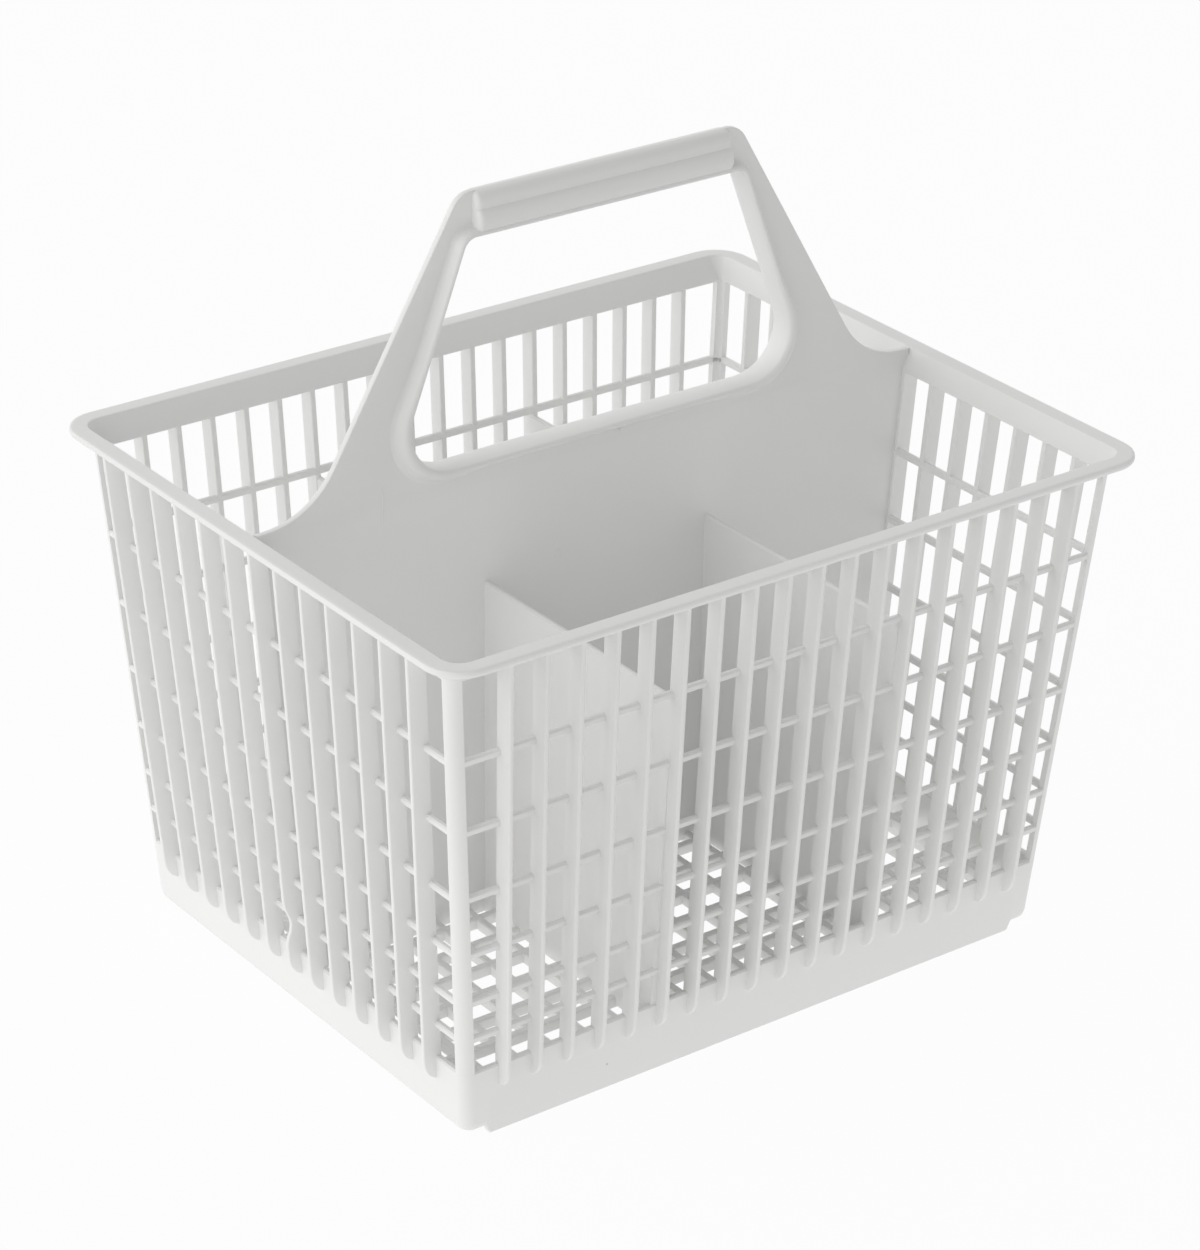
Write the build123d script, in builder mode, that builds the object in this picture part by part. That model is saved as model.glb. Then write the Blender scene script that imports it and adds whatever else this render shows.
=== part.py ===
import os
from build123d import *

os.makedirs("parts", exist_ok=True)

# Rim and overall sizes, in millimetres
rim_length = 240.0
rim_width = 194.4
rim_top = 154.5
rim_corner = 11.0
lip_face_height = 2.1
lip_top_width = 5.3
flare_bottom = 148.5
flare_lap = 0.5
flare_corner = 7.0
mouth_corner = 4.0

# Tapered wall, measured on its outer surface; the base is smaller than the rim by the two draws
draw_length = 36.4
draw_width = 35.6
base_length = rim_length - draw_length
base_width = rim_width - draw_width
wall_lean_ends = 0.081
wall_lean_sides = 0.065
wall_corner = 3.6
sheet = 2.2

# Lattice: bar centres from the bottom up, and the solid skirt and band they lie between
skirt_top = 22.5
band_bottom = 147.5
bar_centres = [33.3, 45.5, 61.1, 79.3, 100.5, 122.2]
bar_height = 2.2
post_width = 3.8

# Ribs on the outer surface, fanning out a little towards the top
side_ribs = 18
end_ribs = 13
rib_half_width = 2.7
rib_sides = 6
rib_bottom = 15.2
rib_top = 150.0
rib_tip_bevel = 1.3
side_fan_inset = 11.2
side_fan_spread = 6.4
end_fan_inset = 12.9
end_fan_spread = 8.3
side_fan_bottom = base_length / 2 - side_fan_inset
side_fan_top = side_fan_bottom + side_fan_spread
end_fan_bottom = base_width / 2 - end_fan_inset
end_fan_top = end_fan_bottom + end_fan_spread

# Floor grid, lengthways bars lying on crossways bars
floor_top = 16.8
floor_bar_height = 1.7
floor_bar_width = 2.2
floor_pitch = 20.0
floor_rows = 7
floor_columns = 9
floor_bite = 1.1

# Feet: the ends of the skirt are raised, so that the basket stands on its two long walls
foot_raise = 3.0
foot_inset = 6.5
foot_slope = 2.0

# Partition, dividers and handle
partition_thickness = 2.0
divider_thickness = 1.8
divider_position = 39.0
divider_top = 120.5
wall_bite = 0.5
plate_sink = 2.5
handle_top = 237.5
handle_shoulder = 17.8
handle_draw = 49.2
handle_foot_half = rim_length / 2 - lip_top_width - handle_shoulder
handle_top_half = handle_foot_half - handle_draw
handle_sweep = 26.0
handle_corner = 7.0
hole_bottom = 159.0
hole_top = 225.0
leg_foot = 24.9
leg_top = 0.7
hole_bottom_half = handle_foot_half - leg_foot
hole_top_half = handle_top_half - leg_top
hole_bottom_corner = 14.0
hole_top_corner = 4.0
bead_width = 5.5
bead_depth = 9.0
bead_outer_chamfer = 3.2
grip_depth = 9.6
grip_end = 4.5
grip_half_length = handle_top_half - grip_end
grip_seam = 231.0
grip_chamfer = 2.4


def half_length(z):
    """Half the outer length of the tapered wall at height z."""
    return base_length / 2 + wall_lean_ends * z


def half_width(z):
    """Half the outer width of the tapered wall at height z."""
    return base_width / 2 + wall_lean_sides * z


def wall_half(z, inset):
    """Half sizes of the wall at height z, set in from its outer surface."""
    return half_length(z) - inset, half_width(z) - inset


def rim_half(inset):
    """Half sizes of the rim, set in from the lip's outer face."""
    return rim_length / 2 - inset, rim_width / 2 - inset


def tapered_block(low, low_half, high, high_half, corner):
    """Solid with four leaning sides and rounded corners, its half sizes given at two heights."""
    with BuildPart() as block:
        for axis, plane, mode in ((0, Plane.XZ, Mode.ADD), (1, Plane.YZ, Mode.INTERSECT)):
            with BuildSketch(plane):
                with BuildLine():
                    Polyline(
                        (-low_half[axis], low),
                        (low_half[axis], low),
                        (high_half[axis], high),
                        (-high_half[axis], high),
                        close=True,
                    )
                make_face()
            extrude(amount=rim_length, both=True, mode=mode)
        fillet(block.edges().filter_by(Plane.XY, reverse=True), corner)
    return block.part


def window_rows():
    """Bottom and top of each row of windows, from the skirt up to the band."""
    edges = [skirt_top]
    for centre in bar_centres:
        edges += [centre - bar_height / 2, centre + bar_height / 2]
    edges.append(band_bottom)
    return [(edges[i], edges[i + 1]) for i in range(0, len(edges), 2)]


def spread(count, half_span):
    """Evenly spaced positions across a span, centred on zero."""
    return [half_span * (2 * i / (count - 1) - 1) for i in range(count)]


def rib_planes(turn, count, reach, lean, fan_bottom, fan_top):
    """Planes square to each rib at its lower end, local Y pointing out of the wall."""
    out = Vector(0, -1, -lean).normalized().rotate(Axis.Z, turn)
    planes = []
    for low, high in zip(spread(count, fan_bottom), spread(count, fan_top)):
        foot = Vector(low, -reach(rib_bottom), rib_bottom).rotate(Axis.Z, turn)
        head = Vector(high, -reach(rib_top), rib_top).rotate(Axis.Z, turn)
        along = (head - foot).normalized()
        planes.append(Plane(origin=foot, x_dir=out.cross(along), z_dir=along))
    return planes


side_planes = []
end_planes = []
for turn in (0, 180):
    side_planes += rib_planes(turn, side_ribs, half_width, wall_lean_sides, side_fan_bottom, side_fan_top)
    end_planes += rib_planes(turn + 90, end_ribs, half_length, wall_lean_ends, end_fan_bottom, end_fan_top)
all_planes = side_planes + end_planes


# Outline of the hand hole, seen from the front
with BuildSketch(Plane.XZ) as hand_hole:
    with BuildLine():
        Polyline(
            (-hole_bottom_half, hole_bottom),
            (hole_bottom_half, hole_bottom),
            (hole_top_half, hole_top),
            (-hole_top_half, hole_top),
            close=True,
        )
    make_face()
    fillet(hand_hole.vertices().group_by(Axis.Y)[0], hole_bottom_corner)
    fillet(hand_hole.vertices().group_by(Axis.Y)[-1], hole_top_corner)

# Bead: a thick bevelled border round the hand hole, standing out on both faces of the partition
with BuildPart() as bead:
    with BuildSketch(Plane.XZ):
        offset(hand_hole.sketch, amount=bead_width, kind=Kind.ARC)
    extrude(amount=bead_depth / 2, both=True)
    chamfer(bead.faces().filter_by(Axis.Y).edges(), bead_outer_chamfer)
    with BuildSketch(Plane.XZ):
        add(hand_hole.sketch)
    extrude(amount=bead_depth, both=True, mode=Mode.SUBTRACT)

# Grip: the roll along the top of the handle, above the bead
with BuildPart() as grip:
    with BuildSketch(Plane.YZ) as grip_section:
        with Locations((0, (grip_seam + handle_top) / 2)):
            Rectangle(grip_depth, handle_top - grip_seam)
        chamfer(grip_section.vertices(), grip_chamfer)
    extrude(amount=grip_half_length, both=True)

# Ribs fanned over each wall: half of a many-sided bar, lower ends bevelled to a blunt tip
with BuildPart() as ribs:
    with BuildSketch(*all_planes):
        RegularPolygon(rib_half_width, rib_sides)
        Rectangle(2 * rib_half_width, rib_half_width, align=(Align.CENTER, Align.MAX), mode=Mode.SUBTRACT)
    extrude(amount=rib_top - rib_bottom, clean=False)
    ends = ribs.faces().filter_by_position(Axis.Z, rib_bottom - rib_half_width, rib_bottom + rib_half_width)
    chamfer([edge for end in ends for edge in end.edges().sort_by(SortBy.LENGTH)[:-1]], rib_tip_bevel)

# Floor, partition, dividers and handle, standing inside the wall
with BuildPart() as inside:
    # Floor grid
    bar_length = 2 * (half_length(floor_top) - floor_bite)
    bar_width = 2 * (half_width(floor_top) - floor_bite)
    with BuildSketch(Plane.XY.offset(floor_top - floor_bar_height)):
        with GridLocations(floor_pitch, floor_pitch, 1, floor_rows):
            Rectangle(bar_length, floor_bar_width)
    extrude(amount=floor_bar_height, clean=False)
    with BuildSketch(Plane.XY.offset(floor_top - 2 * floor_bar_height)):
        with GridLocations(floor_pitch, floor_pitch, floor_columns, 1):
            Rectangle(floor_bar_width, bar_width)
    extrude(amount=floor_bar_height, clean=False)

    # Middle partition, sweeping up into the handle
    plate_foot = floor_top - plate_sink
    with BuildSketch(Plane.XZ) as partition:
        with BuildLine():
            Polyline(
                (0, plate_foot),
                (half_length(plate_foot) + wall_bite, plate_foot),
                (half_length(flare_bottom) + wall_bite, flare_bottom),
                (rim_length / 2 - lip_top_width, rim_top),
                (handle_foot_half, rim_top),
                (handle_top_half, handle_top),
                (0, handle_top),
                close=True,
            )
        make_face()
        top_corner = partition.vertices().group_by(Axis.Y)[-1].sort_by(Axis.X)[-1]
        fillet(top_corner, handle_corner)
        foot_corner = partition.vertices().sort_by_distance((handle_foot_half, rim_top))[0]
        fillet(foot_corner, handle_sweep)
        mirror(about=Plane.YZ)
    extrude(amount=partition_thickness / 2, both=True, clean=False)

    # Dividers, meeting a rib on each long wall
    with BuildSketch(Plane.YZ.offset(divider_position), Plane.YZ.offset(-divider_position)):
        with BuildLine():
            Polyline(
                (-half_width(plate_foot) - wall_bite, plate_foot),
                (half_width(plate_foot) + wall_bite, plate_foot),
                (half_width(divider_top) + wall_bite, divider_top),
                (-half_width(divider_top) - wall_bite, divider_top),
                close=True,
            )
        make_face()
    extrude(amount=divider_thickness / 2, both=True, clean=False)

    # Bead and grip on the partition, with the hand hole cut through
    add([bead.part, grip.part], clean=False)
    with BuildSketch(Plane.XZ):
        add(hand_hole.sketch)
    extrude(amount=bead_depth, both=True, mode=Mode.SUBTRACT, clean=False)

# Leaning blocks: the wall and its hollow, then the flare under the lip and the mouth inside it
lip_bottom = rim_top - lip_face_height
flare_start = flare_bottom - flare_lap
wall_block = tapered_block(0, wall_half(0, 0), flare_bottom, wall_half(flare_bottom, 0), wall_corner)
hollow_block = tapered_block(
    -sheet, wall_half(-sheet, sheet), flare_bottom, wall_half(flare_bottom, sheet), wall_corner - sheet
)
flare_block = tapered_block(flare_start, wall_half(flare_start, flare_lap), lip_bottom, rim_half(0), flare_corner)
mouth_block = tapered_block(
    flare_start, wall_half(flare_start, sheet + flare_lap), rim_top, rim_half(lip_top_width), mouth_corner
)

# The basket, all one moulding
with BuildPart() as basket:
    # Tapered wall running out into the lip
    add(wall_block)
    add(flare_block)
    with BuildSketch(Plane.XY.offset(lip_bottom)):
        RectangleRounded(rim_length, rim_width, rim_corner)
    extrude(amount=lip_face_height)
    add(hollow_block, mode=Mode.SUBTRACT)
    add(mouth_block, mode=Mode.SUBTRACT)

    # Long slots leave the bars, the corner posts, the skirt and the band
    for plane, reach in ((Plane.XZ, half_length), (Plane.YZ, half_width)):
        with BuildSketch(plane):
            for low, high in window_rows():
                with BuildLine():
                    Polyline(
                        (post_width - reach(low), low),
                        (reach(low) - post_width, low),
                        (reach(high) - post_width, high),
                        (post_width - reach(high), high),
                        close=True,
                    )
                make_face()
        extrude(amount=rim_length, both=True, mode=Mode.SUBTRACT)

    # Raised ends of the skirt
    with BuildSketch(Plane.XZ):
        foot_end = base_length / 2 - foot_inset
        with BuildLine():
            Polyline(
                (foot_end - foot_slope, 0),
                (foot_end, foot_raise),
                (foot_end + rim_length, foot_raise),
                (foot_end + rim_length, 0),
                close=True,
            )
        make_face()
        mirror(about=Plane.YZ)
    extrude(amount=rim_width, both=True, mode=Mode.SUBTRACT)

    add(ribs.part, clean=False)
    add(inside.part, clean=False)

basket.part.label = "cutlery_basket"
export_step(basket.part, "parts/cutlery_basket.step")
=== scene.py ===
# %% [markdown]
# # A dishwasher cutlery basket
# The basket is one white plastic moulding: leaning lattice walls, a rolled rim, a grid floor, a middle
# partition that rises into the handle, and four short dividers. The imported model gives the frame, so
# every piece made here is built in metres at the place where the solid already stands.

import math

import bmesh
import bpy
from mathutils import Matrix, Vector


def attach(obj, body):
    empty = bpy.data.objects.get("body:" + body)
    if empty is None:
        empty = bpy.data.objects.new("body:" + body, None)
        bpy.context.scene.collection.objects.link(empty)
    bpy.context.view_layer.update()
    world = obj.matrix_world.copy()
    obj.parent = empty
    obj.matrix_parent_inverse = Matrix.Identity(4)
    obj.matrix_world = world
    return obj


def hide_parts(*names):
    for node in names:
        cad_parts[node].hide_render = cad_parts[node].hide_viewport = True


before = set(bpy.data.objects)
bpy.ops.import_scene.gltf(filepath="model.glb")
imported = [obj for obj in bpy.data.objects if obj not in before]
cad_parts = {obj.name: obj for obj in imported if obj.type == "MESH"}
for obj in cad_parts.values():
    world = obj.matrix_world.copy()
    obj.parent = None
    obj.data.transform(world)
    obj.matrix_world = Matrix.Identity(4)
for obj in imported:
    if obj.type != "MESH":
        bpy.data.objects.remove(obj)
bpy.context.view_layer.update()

# %% [markdown]
# ## Sizes
# A moulding like this is drawn from a few driving sizes: the rim, the base and the lean of the walls
# between them. They are written in millimetres, as on a maker's drawing, and MM turns them into metres.
# What belongs to one piece only stands with that piece further down.

# %% Driving sizes in millimetres
MM = 0.001
rim_half = (120.0, 97.2)
rim_top = 154.5
base_half = (101.8, 79.4)
wall_lean = (0.081, 0.065)
wall_corner, tight_corner = 3.6, 0.6
sheet = 2.2
skirt_top = 22.5
band_bottom = 147.5
soft = 0.5


def half(axis, z):
    """Half the outer size of the wall along X (0) or Y (1) at height z."""
    return base_half[axis] + wall_lean[axis] * z


print("wall at the rim:", [round(2 * half(axis, rim_top), 1) for axis in (0, 1)], "mm")

# %% [markdown]
# ## Lofting closed shells
# A moulded part is mostly long pieces of constant or gently changing section. One function that skins a
# row of rings makes nearly all of them: the rings can be sections along a rib, or outlines of the whole
# basket one above the other. Modifiers could do the same, but a plain loft keeps every edge where the
# sizes put it and gives closed shells with no stray faces.

# %% A mould that collects shells
class Mould:
    """Points in millimetres and faces of the closed shells that make up one moulding."""

    def __init__(self):
        self.points = []
        self.faces = []

    def loft(self, rings, joined=False):
        """Skins closed rings with equal numbers of points; joined links the last ring to the first."""
        count = len(rings[0])
        start = len(self.points)
        for ring in rings:
            self.points.extend(Vector(p) for p in ring)
        spans = len(rings) if joined else len(rings) - 1
        for i in range(spans):
            low = start + i * count
            high = start + (i + 1) % len(rings) * count
            for k in range(count):
                n = (k + 1) % count
                self.faces.append((low + k, low + n, high + n, high + k))
        if not joined:
            last = start + (len(rings) - 1) * count
            self.faces.append(tuple(range(start + count - 1, start - 1, -1)))
            self.faces.append(tuple(range(last, last + count)))

    def add_mesh(self, mesh, place):
        """Takes over a finished mesh, with place giving each point's position in millimetres."""
        start = len(self.points)
        self.points.extend(place(v.co) for v in mesh.vertices)
        self.faces.extend(tuple(start + i for i in p.vertices) for p in mesh.polygons)

    def tell(self, piece):
        """Prints how many faces the moulding has once a piece is in."""
        print(f"with {piece}: {len(self.faces)} faces")


mould = Mould()

# %% Outlines that run round the basket
corner_steps = 8


def round_rectangle(half_x, half_y, radius, z):
    """Outline of a rectangle with round corners, as a ring of points at height z."""
    ring = []
    for quarter, (sx, sy) in enumerate(((1, 1), (-1, 1), (-1, -1), (1, -1))):
        for k in range(corner_steps + 1):
            turn = math.radians(90 * (quarter + k / corner_steps))
            x = sx * (half_x - radius) + radius * math.cos(turn)
            y = sy * (half_y - radius) + radius * math.sin(turn)
            ring.append((x, y, z))
    return ring


def wall_ring(z, inset):
    """The wall's outline at height z, set in from its outer surface."""
    radius = max(wall_corner - inset, tight_corner)
    return round_rectangle(half(0, z) - inset, half(1, z) - inset, radius, z)


# %% [markdown]
# ## Rim
# The rim is a narrow band that flares out into a lip with a flat top. It is a hoop: one small section
# carried all the way round the basket. Each point of the section becomes one rounded rectangle, and a
# loft skins them. Two points close together beside an edge keep the flats flat under smooth shading,
# where a bevel modifier would round every edge by the same amount.

# %% Band and lip
rim_corner = 11.0
lip_face = 2.1
lip_top_width = 5.3
flare_bottom = 148.5
band_edge, band_flat = 0.3, 0.5
# depth below the rim's top and inset from the lip's face, from the underside over the top to the inside
lip_section = (
    (lip_face + 0.4, 1.2),
    (lip_face, 0.35),
    (lip_face - 0.5, 0.0),
    (0.7, 0.0),
    (0.2, 0.2),
    (0.0, 0.75),
    (0.0, 0.95),
    (0.0, lip_top_width - 0.55),
    (0.0, lip_top_width - 0.4),
    (0.15, lip_top_width - 0.05),
    (0.5, lip_top_width + 0.12),
    (0.7, lip_top_width + 0.21),
)


def lip_ring(down, inset):
    """The lip's outline at a depth below the rim's top, set in from its outer face."""
    return round_rectangle(rim_half[0] - inset, rim_half[1] - inset, rim_corner - inset, rim_top - down)


mould.loft(
    [
        wall_ring(band_bottom, sheet - band_edge),
        wall_ring(band_bottom, band_edge),
        wall_ring(band_bottom + band_edge, 0.0),
        wall_ring(flare_bottom, 0.0),
        *(lip_ring(down, inset) for down, inset in lip_section),
        wall_ring(band_bottom + band_flat, sheet),
        wall_ring(band_bottom + band_edge, sheet),
    ],
    joined=True,
)
mould.tell("rim")

# %% [markdown]
# ## Bars
# Six bars run level round all four walls and tie the ribs together. They are hoops too, with a small
# square section. Its four edges are chamfered, which gives the soft edge that catches light on plastic.
# The gaps between them grow towards the top, so their heights are a list and not a pattern.

# %% Bars round the lattice
bar_centres = (33.3, 45.5, 61.1, 79.3, 100.5, 122.2)
bar_height = 2.2
bar_front, bar_back = 0.1, 2.05
for centre in bar_centres:
    low, high = centre - bar_height / 2, centre + bar_height / 2
    mould.loft(
        [
            wall_ring(low, bar_front + soft),
            wall_ring(low + soft, bar_front),
            wall_ring(high - soft, bar_front),
            wall_ring(high, bar_front + soft),
            wall_ring(high, bar_back - soft),
            wall_ring(high - soft, bar_back),
            wall_ring(low + soft, bar_back),
            wall_ring(low, bar_back - soft),
        ],
        joined=True,
    )
mould.tell("bars")

# %% [markdown]
# ## Skirt
# The skirt is the plain wall at the foot. The basket stands on its two long sides, and at both ends the
# lower edge steps up a little. A boolean could cut that step, but lifting the points of the lowest rings
# keeps the skirt one clean hoop. Extra points where the edge climbs make the step a smooth one.

# %% Skirt rings with a raised foot at both ends
foot_raise = 3.0
foot_inset, foot_slope, slope_steps = 6.5, 2.0, 6
foot_flat = base_half[0] - foot_inset - foot_slope
foot_edge, foot_draft = 0.5, 0.05
plain_from = foot_raise + 2.0


def skirt_ring(z, inset):
    """A wall ring with extra points where the lower edge steps up."""
    ring = []
    outline = wall_ring(z, inset)
    marks = [foot_flat + foot_slope * k / slope_steps for k in range(slope_steps + 1)]
    for k, point in enumerate(outline):
        ring.append(point)
        following = outline[(k + 1) % len(outline)]
        if abs(following[0] - point[0]) > 2 * foot_flat:
            side = 1 if point[0] > 0 else -1
            ring.extend((side * m, point[1], z) for m in reversed(marks))
            ring.extend((-side * m, point[1], z) for m in marks)
    return ring


def foot_ring(z, inset):
    """A skirt ring that is lifted at the raised ends of the basket."""
    lifted = []
    for x, y, level in skirt_ring(z, inset):
        rise = min(max((abs(x) - foot_flat) / foot_slope, 0.0), 1.0)
        lifted.append((x, y, level + foot_raise * rise * rise * (3 - 2 * rise)))
    return lifted


mould.loft(
    [
        foot_ring(0.0, foot_edge),
        foot_ring(foot_edge, foot_draft),
        skirt_ring(plain_from, 0.0),
        skirt_ring(skirt_top - soft, 0.0),
        skirt_ring(skirt_top, soft),
        skirt_ring(skirt_top, sheet - soft),
        skirt_ring(skirt_top - soft, sheet),
        skirt_ring(plain_from, sheet),
        foot_ring(foot_edge, sheet - foot_draft),
        foot_ring(0.0, sheet - foot_edge),
    ],
    joined=True,
)
mould.tell("skirt")

# %% [markdown]
# ## Corner posts
# At each corner the wall is closed by a narrow post that joins skirt and rim. Its plan is the rounded
# corner with a short flat on each wall, outside and in. The walls lean, so the plan is worked out at the
# foot and again at the head, and the loft between the two gives the lean by itself.

# %% Posts between skirt and band
post_width, post_sink = 3.8, 0.04
post_foot, post_head = skirt_top - 2.0, band_bottom + 1.0


def post_section(sx, sy, z):
    """Plan of one corner post at height z, round its outside and back round its inside."""
    ring = []
    there = range(corner_steps + 1)
    for inset, order in ((post_sink, there), (bar_back, reversed(there))):
        radius = max(wall_corner - inset, tight_corner)
        corner_x, corner_y = half(0, z) - inset, half(1, z) - inset
        flats = ((half(0, z) - post_width, corner_y), (corner_x, half(1, z) - post_width))
        arc = []
        for k in order:
            turn = math.radians(90 * (1 - k / corner_steps))
            x = corner_x - radius + radius * math.cos(turn)
            y = corner_y - radius + radius * math.sin(turn)
            arc.append((x, y))
        ends = flats if inset == post_sink else flats[::-1]
        ring.extend([ends[0], *arc, ends[1]])
    return [(sx * x, sy * y, z) for x, y in ring]


for sx in (1, -1):
    for sy in (1, -1):
        mould.loft([post_section(sx, sy, z) for z in (post_foot, post_head)])
mould.tell("corner posts")

# %% [markdown]
# ## Ribs
# Eighteen ribs fan out over each long wall and thirteen over each short one. Each is a thin blade set on
# edge: it stands out past the bars, is flush with them inside, and its nose curves in to the skirt at the
# foot. A rib is one loft: the section is carried up the wall, with the nose pulled in for the first rings.
# One rib on the left wall has a dent, so it gets a few more rings with the nose pressed in.

# %% Section of a rib
rib_nose_half, rib_root_half = 0.72, 0.88
rib_nose, rib_back = 3.7, 2.0
rib_soft, nose_steps = 0.4, 6
root_edge = 0.2


def rib_section(nose, back):
    """Plan of a blade as points across the rib and out from the wall, with a rounded nose."""
    arc = []
    for k in range(nose_steps + 1):
        turn = math.radians(180 * k / nose_steps)
        out = nose - rib_soft + rib_soft * math.sin(turn)
        arc.append((rib_nose_half * math.cos(turn), out))
    left = [(-rib_root_half, root_edge - back), (root_edge - rib_root_half, -back)]
    return arc + left + [(-u, v) for u, v in reversed(left)]


# %% Rings up a rib, as height, nose and back
rib_tip, tip_round, tip_sink, tip_steps = 15.2, 7.0, 0.5, 8
rib_head = 151.7
# height, and how far the back still reaches in
rib_tuck = ((147.7, 2.0), (148.4, -0.3), (rib_head, -1.6))
# axis, sign and number of the dented rib, then heights and how far the nose is pressed in there
dented_rib = (0, -1, 6)
dent = (
    (26.0, 0.0), (28.0, 0.5), (30.0, 1.4), (32.0, 1.8),
    (34.0, 1.6), (36.0, 0.9), (38.0, 0.3), (40.0, 0.0),
)


def rib_stations(dented):
    """Heights up a rib with its nose and back there: rounded tip, any dent, and the tuck under the rim."""
    stations = []
    for step in range(tip_steps + 1):
        turn = math.radians(90 * step / tip_steps)
        z = rib_tip + tip_round * (1 - math.cos(turn))
        stations.append((z, (rib_nose + tip_sink) * math.sin(turn) - tip_sink, rib_back))
    if dented:
        stations += [(z, rib_nose - pull, rib_back) for z, pull in dent]
    return stations + [(z, rib_nose, back) for z, back in rib_tuck]


# %% Fans of ribs
fan_top = 150.0
side_ribs, side_fan = 18, (90.6, 97.0)
end_ribs, end_fan = 13, (66.5, 74.8)


def add_ribs(axis, sign, count, fan):
    """Ribs on one wall square to an axis: the wall's fan is spread along the other axis."""
    out = Vector((0, 0, -wall_lean[axis]))
    out[axis] = sign
    out.normalize()
    for i in range(count):
        spread = 2 * i / (count - 1) - 1
        ends = []
        for z, span in ((rib_tip, fan[0]), (fan_top, fan[1])):
            point = Vector((0, 0, z))
            point[axis] = sign * half(axis, z)
            point[1 - axis] = spread * span
            ends.append(point)
        across = out.cross((ends[1] - ends[0]).normalized())
        rings = []
        for z, nose, back in rib_stations((axis, sign, i) == dented_rib):
            centre = ends[0].lerp(ends[1], (z - rib_tip) / (fan_top - rib_tip))
            rings.append([centre + across * u + out * v for u, v in rib_section(nose, back)])
        mould.loft(rings)


for sign in (1, -1):
    add_ribs(1, sign, side_ribs, side_fan)
    add_ribs(0, sign, end_ribs, end_fan)
mould.tell("ribs")

# %% [markdown]
# ## Floor
# The floor is an open grid that drains the basket. Its bars are plain moulded strips with softened
# edges, so each is a small eight-sided section carried from wall to wall. An array modifier could repeat
# them, but a loop over the pitch says the same in a line. The cross bars lie a hair lower than the long
# ones, so that no two upper faces share a plane.

# %% Grid floor
floor_top, floor_depth = 16.8, 3.5
floor_pitch, floor_bar = 11.45, 2.4
floor_rows, floor_columns = 7, 8
floor_bite = 1.1
strip_edge = 0.35
cross_top = floor_top - 0.1


def floor_strip(start, end):
    """A bar with softened edges between two points on its upper middle line."""
    start, end = Vector(start), Vector(end)
    across = (end - start).normalized().cross(Vector((0, 0, 1)))
    w, h, e = floor_bar / 2, floor_depth, strip_edge
    section = [(w, -e), (w - e, 0), (e - w, 0), (-w, -e)]
    section += [(-w, e - h), (e - w, -h), (w - e, -h), (w, e - h)]
    mould.loft([[p + across * u + Vector((0, 0, v)) for u, v in section] for p in (start, end)])


reach_x, reach_y = (half(axis, floor_top) - floor_bite for axis in (0, 1))
for k in range(floor_rows):
    for side in (1, -1):
        y = side * floor_pitch * (k + 0.5)
        floor_strip((-reach_x, y, floor_top), (reach_x, y, floor_top))
for k in range(-floor_columns, floor_columns + 1):
    x = floor_pitch * k
    floor_strip((x, -reach_y, cross_top), (x, reach_y, cross_top))
mould.tell("floor")

# %% [markdown]
# ## Partition
# The partition is a thin plate whose top edge sweeps up into the handle, with a hand hole in it. Its
# outline is a few corners with a radius each, as a draughtsman would give them. Filled as a flat curve,
# with the hole as a second outline, it becomes a plate with softened edges, and no boolean is needed.
# On this basket the moulding has left the plate leaning back a little, so every point is leaned the same.

# %% Outlines with rounded corners
arc_steps = 10


def rounded_outline(corners):
    """Points of a closed outline whose corners (x, z, radius) are replaced by arcs."""
    points = []
    count = len(corners)
    for i, (x, z, radius) in enumerate(corners):
        here = Vector((x, z))
        before = (Vector(corners[i - 1][:2]) - here).normalized()
        after = (Vector(corners[(i + 1) % count][:2]) - here).normalized()
        if radius == 0:
            points.append(here)
            continue
        angle = before.angle(after)
        tangent = radius / math.tan(angle / 2)
        middle = here + (before + after).normalized() * (radius / math.sin(angle / 2))
        first, last = here + before * tangent - middle, here + after * tangent - middle
        turn = first.angle_signed(last)
        for k in range(arc_steps + 1):
            points.append(middle + Matrix.Rotation(-turn * k / arc_steps, 2) @ first)
    return points


def mirrored(corner):
    """The same corner on the other side of the partition's middle."""
    x, z, radius = corner
    return (-x, z, radius)


# %% Outline of the plate and the lean of the handle
plate_half, plate_edge, plate_foot = 1.0, 0.3, 14.3
plate_sink = 0.4
handle_top, handle_top_half = 237.2, 47.7
handle_foot, handle_foot_half = rim_top - 0.2, 96.9
handle_sweep, handle_corner = 26.0, 7.0
lip_clearance = 0.6
partition_lean = 2.4
right_edge = [
    (half(0, plate_foot) - plate_sink, plate_foot, 0),
    (half(0, flare_bottom) - plate_sink, flare_bottom, 0),
    (rim_half[0] - lip_top_width - lip_clearance, handle_foot, 0),
    (handle_foot_half, handle_foot, handle_sweep),
    (handle_top_half, handle_top, handle_corner),
]
plate_outline = rounded_outline(right_edge + [mirrored(corner) for corner in reversed(right_edge)])


def leaned(x, y, z):
    """A point of the partition, which the moulding has left leaning back a little towards its top."""
    return Vector((x, y + partition_lean * (z - plate_foot) / (handle_top - plate_foot), z))


# %% Hand hole
hole_bottom, hole_bottom_half, hole_low_corner = 159.0, 72.0, 14.0
hole_top, hole_top_half, hole_high_corner = 225.0, 47.0, 4.0
bead_cover = 1.5


def hole_path(grow):
    """Outline of the hand hole, grown by a margin on every side."""
    foot = (hole_bottom_half + grow, hole_bottom - grow, hole_low_corner + grow)
    head = (hole_top_half + grow, hole_top + grow, hole_high_corner + grow)
    return rounded_outline([mirrored(foot), foot, head, mirrored(head)])


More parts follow.
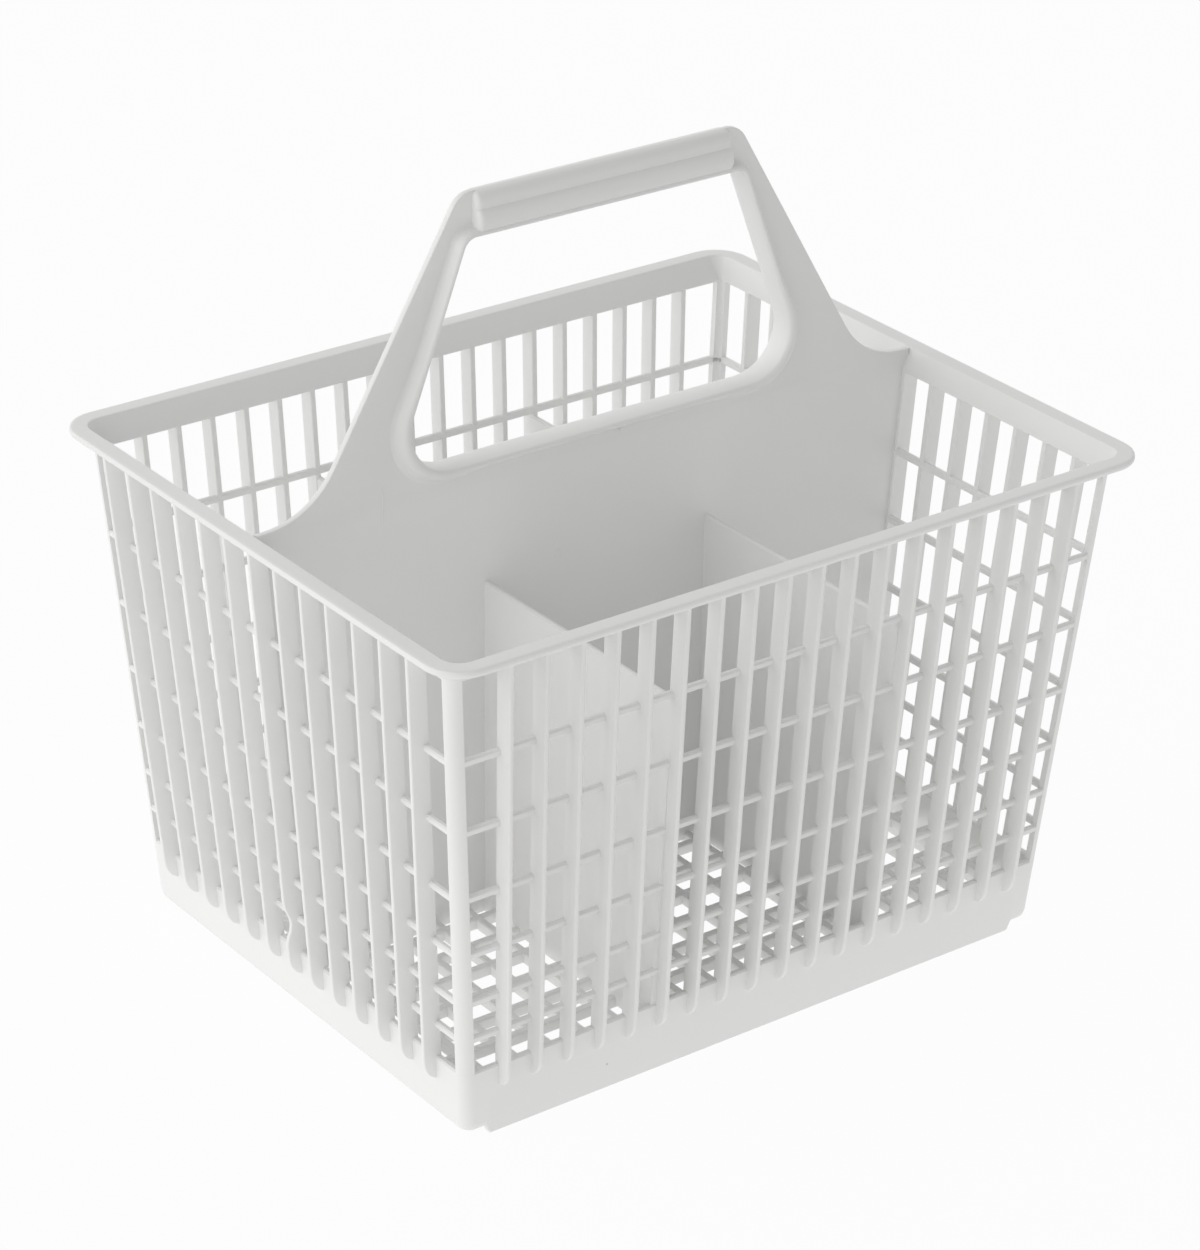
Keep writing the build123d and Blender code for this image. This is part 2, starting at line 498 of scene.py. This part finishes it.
# %% Plate of the partition
def flat_plate(outlines):
    """A filled flat curve with holes and softened edges, as a mesh lying in the curve's own plane."""
    curve = bpy.data.curves.new("partition outline", "CURVE")
    curve.dimensions = "2D"
    curve.fill_mode = "BOTH"
    for outline in outlines:
        spline = curve.splines.new("POLY")
        spline.points.add(len(outline) - 1)
        for point, place in zip(spline.points, outline):
            point.co = (place[0], place[1], 0, 1)
        spline.use_cyclic_u = True
    curve.extrude = plate_half - plate_edge
    curve.bevel_depth = plate_edge
    curve.bevel_resolution = 2
    curve.offset = -plate_edge
    carrier = bpy.data.objects.new("partition outline", curve)
    mesh = bpy.data.meshes.new_from_object(carrier)
    bpy.data.objects.remove(carrier)
    return mesh


plate_mesh = flat_plate([plate_outline, hole_path(bead_cover)])
mould.add_mesh(plate_mesh, lambda co: leaned(co.x, -co.z, co.y))
mould.tell("partition")

# %% [markdown]
# ## Bead round the hand hole
# A thick smooth bead runs round the hole, so that the thin plate doesn't cut the hand. Its section is
# full at the hole's edge and falls off steeply to the plate, and it swells towards the two lower corners.
# A bevelled curve would swell in every direction, so a loft is used, which widens the section in the
# plane of the plate only.

# %% Bead
bead_front = [
    (0.0, 3.4), (0.2, 4.1), (0.6, 4.5), (1.1, 4.5), (1.5, 4.2), (1.8, 3.6),
    (2.0, 2.7), (2.2, 1.8), (2.5, 1.25), (3.0, 1.03), (3.6, 0.9),
]
bead_loop = [(s, -y) for s, y in bead_front] + [(s, y) for s, y in reversed(bead_front)]
bead_step = 3.0
swell_place, swell_size, swell_gain = (60.0, 168.0), 16.0, 0.9


def close_up(path):
    """The same closed path with extra points along its long straight runs."""
    dense = []
    for point, after in zip(path, path[1:] + path[:1]):
        pieces = max(int((after - point).length / bead_step), 1)
        dense.extend(point.lerp(after, k / pieces) for k in range(pieces))
    return dense


def bead_rings(path):
    """The bead's section at each point of the hole's outline, wider towards the lower corners."""
    rings = []
    count = len(path)
    for i, point in enumerate(path):
        run = (path[(i + 1) % count] - path[i - 1]).normalized()
        away = Vector((run.y, -run.x))
        off = Vector((abs(point.x) - swell_place[0], point.y - swell_place[1])).length / swell_size
        swell = 1 + swell_gain * math.exp(-off * off)
        ring = []
        for s, y in bead_loop:
            ring.append(leaned(point.x + away.x * s * swell, y, point.y + away.y * s * swell))
        rings.append(ring)
    return rings


mould.loft(bead_rings(close_up(hole_path(0.0))), joined=True)
mould.tell("bead")

# %% [markdown]
# ## Grip
# The hand closes round a grip along the top of the handle: a thick lower lobe and a slimmer upper one.
# Each lobe is a squarish oval, a superellipse, whose one exponent sets how square it looks. It is carried
# along the handle, and the first and last rings shrink along an arc, which rounds the ends.

# %% Two-lobed grip along the top
grip_half = 43.6
grip_round, end_steps = 1.6, 6
grip_square, oval_steps = 2.4, 32
lobes = ((224.8, 233.4, 5.0), (229.8, handle_top, 3.7))


def squarish(wave):
    """A sine or cosine bent towards a square one."""
    return math.copysign(abs(wave) ** (2 / grip_square), wave)


def lobe_rings(low, high, depth):
    """A lobe of squarish section from one end of the grip to the other, with rounded ends."""
    rings = []
    for end in (-1, 1):
        for step in range(end_steps + 1):
            part = step if end < 0 else end_steps - step
            turn = math.radians(90 * part / end_steps)
            x = end * (grip_half - grip_round * (1 - math.cos(turn)))
            pull = grip_round * (1 - math.sin(turn))
            ring = []
            for k in range(oval_steps):
                around = math.tau * k / oval_steps
                y = squarish(math.cos(around)) * (depth - pull)
                z = squarish(math.sin(around)) * ((high - low) / 2 - pull)
                ring.append(leaned(x, y, (high + low) / 2 + z))
            rings.append(ring)
    return rings


for lobe in lobes:
    mould.loft(lobe_rings(*lobe))
mould.tell("grip")

# %% [markdown]
# ## Dividers
# Four low plates between the partition and the long walls make six compartments. Each is a flat plate
# with a softened top, so its section is drawn once and lofted from the partition to the wall. The outer
# end takes the wall's place at each height, which makes it lean with the wall.

# %% Dividers between the partition and the long walls
divider_x, divider_top, divider_half = 39.0, 120.5, 0.9
divider_edge, divider_bite = 0.5, 0.5
right_side = [
    (divider_half - divider_edge, divider_top),
    (divider_half, divider_top - divider_edge),
    (divider_half, plate_foot),
]
divider_section = [(-u, z) for u, z in reversed(right_side)] + right_side
for x in (-divider_x, divider_x):
    for side in (1, -1):
        inner = [(x + u, 0.0, z) for u, z in divider_section]
        outer = [(x + u, side * (half(1, z) - divider_bite), z) for u, z in divider_section]
        mould.loft([inner, outer])
mould.tell("dividers")

# %% [markdown]
# ## Marks left by moulding
# Close up, the basket shows traces of its making: a faint weld line and a gate mark on the partition, and
# a drip of plastic under the hand hole. A bump in the material could hint at them, but they have a real
# outline against the light, so each is a small ellipsoid that is half sunk in the plate.

# %% Weld line, gate mark and drip
mark_steps = 12
marks = {
    "weld line": {"centre": (-73.6, -plate_half, 151.1), "along": (0.01, 1.0), "size": (7.8, 0.3, 0.12)},
    "gate mark": {"centre": (-14.75, -plate_half, 122.5), "along": (0.0, 1.0), "size": (1.2, 1.2, 0.35)},
    "drip": {"centre": (8.0, -plate_half - 0.5, 157.0), "along": (0.6, 0.8), "size": (2.4, 0.6, 1.0)},
}


def add_mark(centre, along, size):
    """A half-sunk ellipsoid on the partition's front, stretched along a direction in its plane."""
    length, width, height = size
    along = Vector((along[0], 0, along[1])).normalized()
    across, out = Vector((along.z, 0, -along.x)), Vector((0, -1, 0))
    angles = [math.tau * k / mark_steps for k in range(mark_steps)]
    rings = []
    for step in range(1, mark_steps):
        turn = math.pi * step / mark_steps
        middle = leaned(*centre) - along * length * math.cos(turn)
        wide, high = width * math.sin(turn), height * math.sin(turn)
        rings.append([middle + across * wide * math.cos(a) + out * high * math.sin(a) for a in angles])
    mould.loft(rings)


for mark in marks.values():
    add_mark(**mark)
mould.tell(", ".join(marks))

# %% [markdown]
# ## One moulding
# All the shells belong to one piece of plastic, so they become one mesh. They cross each other inside the
# plastic, where nobody looks, which keeps the faces cleaner than a boolean of so many shells would.
# Faces are shaded smooth, and edges sharper than a set angle stay crisp, as a polished mould leaves them.

# %% The basket mesh
weld_distance = 1e-7
crisp_angle = math.radians(38)
basket_mesh = bpy.data.meshes.new("basket moulding")
basket_mesh.from_pydata([p * MM for p in mould.points], [], mould.faces)
shape = bmesh.new()
shape.from_mesh(basket_mesh)
bmesh.ops.remove_doubles(shape, verts=shape.verts, dist=weld_distance)
bmesh.ops.recalc_face_normals(shape, faces=shape.faces)
shape.to_mesh(basket_mesh)
shape.free()
for polygon in basket_mesh.polygons:
    polygon.use_smooth = True
basket_mesh.set_sharp_from_angle(angle=crisp_angle)
basket = bpy.data.objects.new("basket_moulding", basket_mesh)
bpy.context.scene.collection.objects.link(basket)
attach(basket, "root")
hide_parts("cutlery_basket")
print("basket moulding:", len(basket_mesh.polygons), "faces")

# %% [markdown]
# ## Shader maths
# A material is a graph of nodes, and drawing one line by line hides what it works out. Here a socket is
# wrapped so that it can stand in a Python sum, and each sum adds its own Math node. Any other node comes
# from one method, so a material reads as a short list of what feeds what.

# %% Sockets in sums, and one way to add a node
class Wire:
    """A socket that can be added, subtracted and multiplied, each time by way of a Math node."""

    def __init__(self, tree, socket):
        self.tree = tree
        self.socket = socket

    def maths(self, operation, first, second):
        """Adds a Math node fed by sockets or plain numbers."""
        node = self.tree.nodes.new("ShaderNodeMath")
        node.operation = operation
        for slot, value in zip(node.inputs, (first, second)):
            if isinstance(value, Wire):
                self.tree.links.new(value.socket, slot)
            else:
                slot.default_value = value
        return Wire(self.tree, node.outputs[0])

    def __add__(self, other):
        return self.maths("ADD", self, other)

    __radd__ = __add__

    def __mul__(self, other):
        return self.maths("MULTIPLY", self, other)

    __rmul__ = __mul__

    def __sub__(self, other):
        return self.maths("SUBTRACT", self, other)

    def __rsub__(self, other):
        return self.maths("SUBTRACT", other, self)


class Shader:
    """The node tree of a material or a world."""

    def __init__(self, owner):
        owner.use_nodes = True
        self.tree = owner.node_tree
        self.tree.nodes.clear()

    def node(self, kind, settings=None, sockets=None, output=0):
        """Adds a node, its settings first, then values or links by socket, and gives back one output."""
        made = self.tree.nodes.new("ShaderNode" + kind)
        for key, value in (settings or {}).items():
            setattr(made, key, value)
        for key, value in (sockets or {}).items():
            if isinstance(value, Wire):
                self.tree.links.new(value.socket, made.inputs[key])
            else:
                made.inputs[key].default_value = value
        return Wire(self.tree, made.outputs[output]) if made.outputs else None

    def mix(self, factor, first, second):
        """Blends two colours; a Mix node holds them in its sockets 6 and 7, and the result in output 2."""
        return self.node("Mix", {"data_type": "RGBA"}, {"Factor": factor, 6: first, 7: second}, 2)

    def fade(self, value, near, far, start):
        """Goes from start down to nothing while a value grows from near to far."""
        sockets = {"Value": value, "From Min": near, "From Max": far, "To Min": start, "To Max": 0.0}
        return self.node("MapRange", sockets=sockets)


# %% [markdown]
# ## White plastic
# The plastic is a white polypropylene: not quite pure white, satin, with a very fine grain from the tool
# and faint cloudy changes of gloss where the melt cooled. Noise at two scales drives the roughness and a
# shallow bump, and the slow one also tints the white a little warmer or cooler. A small dark speck on the
# skirt is a spot of colour that fades with the distance from its middle, so no image is needed.

# %% Colour of the plastic, with its speck
cool_white = (0.812, 0.814, 0.804, 1)
warm_white = (0.848, 0.847, 0.834, 1)
speck_colour = (0.30, 0.29, 0.27, 1)
speck_place = Vector((-54.5, -79.95, 8.3)) * MM
speck_core, speck_edge, speck_strength = 0.2 * MM, 0.5 * MM, 0.5
plastic_material = bpy.data.materials.new("white plastic")
plastic = Shader(plastic_material)
place = plastic.node("TexCoord", output="Object")
cloud = plastic.node("TexNoise", sockets={"Vector": place, "Scale": 14.0, "Detail": 3.0})
apart = plastic.node("VectorMath", {"operation": "DISTANCE"}, {0: place, 1: speck_place}, "Value")
speck = plastic.fade(apart, speck_core, speck_edge, speck_strength)
colour = plastic.mix(speck, plastic.mix(cloud, cool_white, warm_white), speck_colour)

# %% Finish of the plastic
roughness_base, roughness_cloud, roughness_grain = 0.36, 0.10, 0.06
grain = plastic.node("TexNoise", sockets={"Vector": place, "Scale": 1400.0, "Detail": 2.0})
grain_bump = plastic.node("Bump", sockets={"Strength": 0.06, "Distance": 0.0004, "Height": grain})
finish = {
    "Base Color": colour,
    "Roughness": roughness_base + cloud * roughness_cloud + grain * roughness_grain,
    "Normal": grain_bump,
    "IOR": 1.49,
}
plastic.node("OutputMaterial", sockets={"Surface": plastic.node("BsdfPrincipled", sockets=finish)})
basket_mesh.materials.append(plastic_material)
print("white plastic:", len(plastic.tree.nodes), "nodes")

# %% [markdown]
# ## Floor under the basket
# The basket is photographed on a bright white table. The sheet is mostly glow, which shows it nearly
# white to the camera, and a little matte, which takes a faint shadow. Close to the basket the glow also
# counts for other rays, as the bright table lights the real one from below, and it fades further out.

# %% Pale floor
floor_half, floor_drop = 3.0, 0.0002
floor_corners = [(x * floor_half, y * floor_half, 0) for x, y in ((-1, -1), (1, -1), (1, 1), (-1, 1))]
floor_mesh = bpy.data.meshes.new("pale floor")
floor_mesh.from_pydata(floor_corners, [], [(0, 1, 2, 3)])
floor = bpy.data.objects.new("pale_floor", floor_mesh)
floor.location.z = -floor_drop
bpy.context.scene.collection.objects.link(floor)

# %% Surface of the floor
glow_part, glow_near, glow_far = 0.95, 0.35, 0.9
paper_material = bpy.data.materials.new("pale floor")
paper = Shader(paper_material)
matte = paper.node("BsdfDiffuse", sockets={"Color": (0.8, 0.8, 0.8, 1)})
glow = paper.node("Emission", sockets={"Color": (1, 1, 1, 1), "Strength": 1.0})
spot = paper.node("TexCoord", output="Object")
distance = paper.node("VectorMath", {"operation": "LENGTH"}, {0: spot}, "Value")
near = paper.fade(distance, glow_near, glow_far, glow_part)
seen = paper.node("LightPath", output="Is Camera Ray")
sheet_mix = paper.node("MixShader", sockets={"Fac": near + seen * (glow_part - near), 1: matte, 2: glow})
paper.node("OutputMaterial", sockets={"Surface": sheet_mix})
floor_mesh.materials.append(paper_material)
print("pale floor:", 2 * floor_half, "m wide")

# %% [markdown]
# ## Light
# The room's light is soft and comes from all round, so the world itself is the main light. It is brighter
# low down and behind the basket, and a dot product with that direction gives the slow change. The camera
# sees plain white instead. One large soft lamp on the left makes the left faces a little lighter.

# %% Soft surround, brighter low down and behind
surround_level, surround_shift = 1.14, 0.25
bright_side = (-0.5, 1.6, -2.8)
world = bpy.data.worlds.new("white studio")
bpy.context.scene.world = world
studio = Shader(world)
heading = studio.node("TexCoord", output="Generated")
facing = studio.node("VectorMath", {"operation": "DOT_PRODUCT"}, {0: heading, 1: bright_side}, "Value")
strength = surround_level + facing * surround_shift
room = studio.node("Background", sockets={"Color": (1, 1, 1, 1), "Strength": strength})
backdrop = studio.node("Background", sockets={"Color": (1, 1, 1, 1), "Strength": 1.0})
seen = studio.node("LightPath", output="Is Camera Ray")
picked = studio.node("MixShader", sockets={"Fac": seen, 1: room, 2: backdrop})
studio.node("OutputWorld", sockets={"Surface": picked})

# %% Soft lamp on the left
lamp_place, lamp_aim = Vector((-1.4, 0.0, 0.9)), Vector((0, 0, 0.1))
lamp = bpy.data.lights.new("left lamp", "AREA")
lamp.size = 1.0
lamp.energy = 3.8
lamp_holder = bpy.data.objects.new("left lamp", lamp)
lamp_holder.location = lamp_place
lamp_holder.rotation_euler = (lamp_aim - lamp_place).to_track_quat("-Z", "Y").to_euler()
bpy.context.scene.collection.objects.link(lamp_holder)
print("left lamp:", round((lamp_aim - lamp_place).length, 2), "m from the basket")

# %% [markdown]
# ## Camera
# The camera was found by fitting a few straight edges of the basket to the photograph. Its angles say
# more to a reader than a matrix does, so the matrix is built from them: where it looks, which way is
# level, and then a small roll of about one degree.

# %% Camera at the photograph's angle
frame_width = 1200
focal_pixels = 4259.1
camera_place = Vector((-0.660093, -0.873174, 0.644208))
azimuth, elevation, roll = (math.radians(a) for a in (37.123, 26.622, 1.031))
ahead = Vector((math.sin(azimuth), math.cos(azimuth), 0)) * math.cos(elevation)
ahead.z = -math.sin(elevation)
level = Vector((math.cos(azimuth), -math.sin(azimuth), 0))
upward = level.cross(ahead)
right = level * math.cos(roll) + upward * math.sin(roll)
top = upward * math.cos(roll) - level * math.sin(roll)
camera_data = bpy.data.cameras.new("camera")
camera_data.sensor_fit = "HORIZONTAL"
camera_data.sensor_width = 36.0
camera_data.lens = focal_pixels * camera_data.sensor_width / frame_width
camera = bpy.data.objects.new("camera", camera_data)
camera.matrix_world = Matrix.Translation(camera_place) @ Matrix((right, top, -ahead)).transposed().to_4x4()
bpy.context.scene.collection.objects.link(camera)
bpy.context.scene.camera = camera
bpy.context.scene.view_settings.view_transform = "Standard"
print("camera:", round(camera_data.lens, 1), "mm lens")
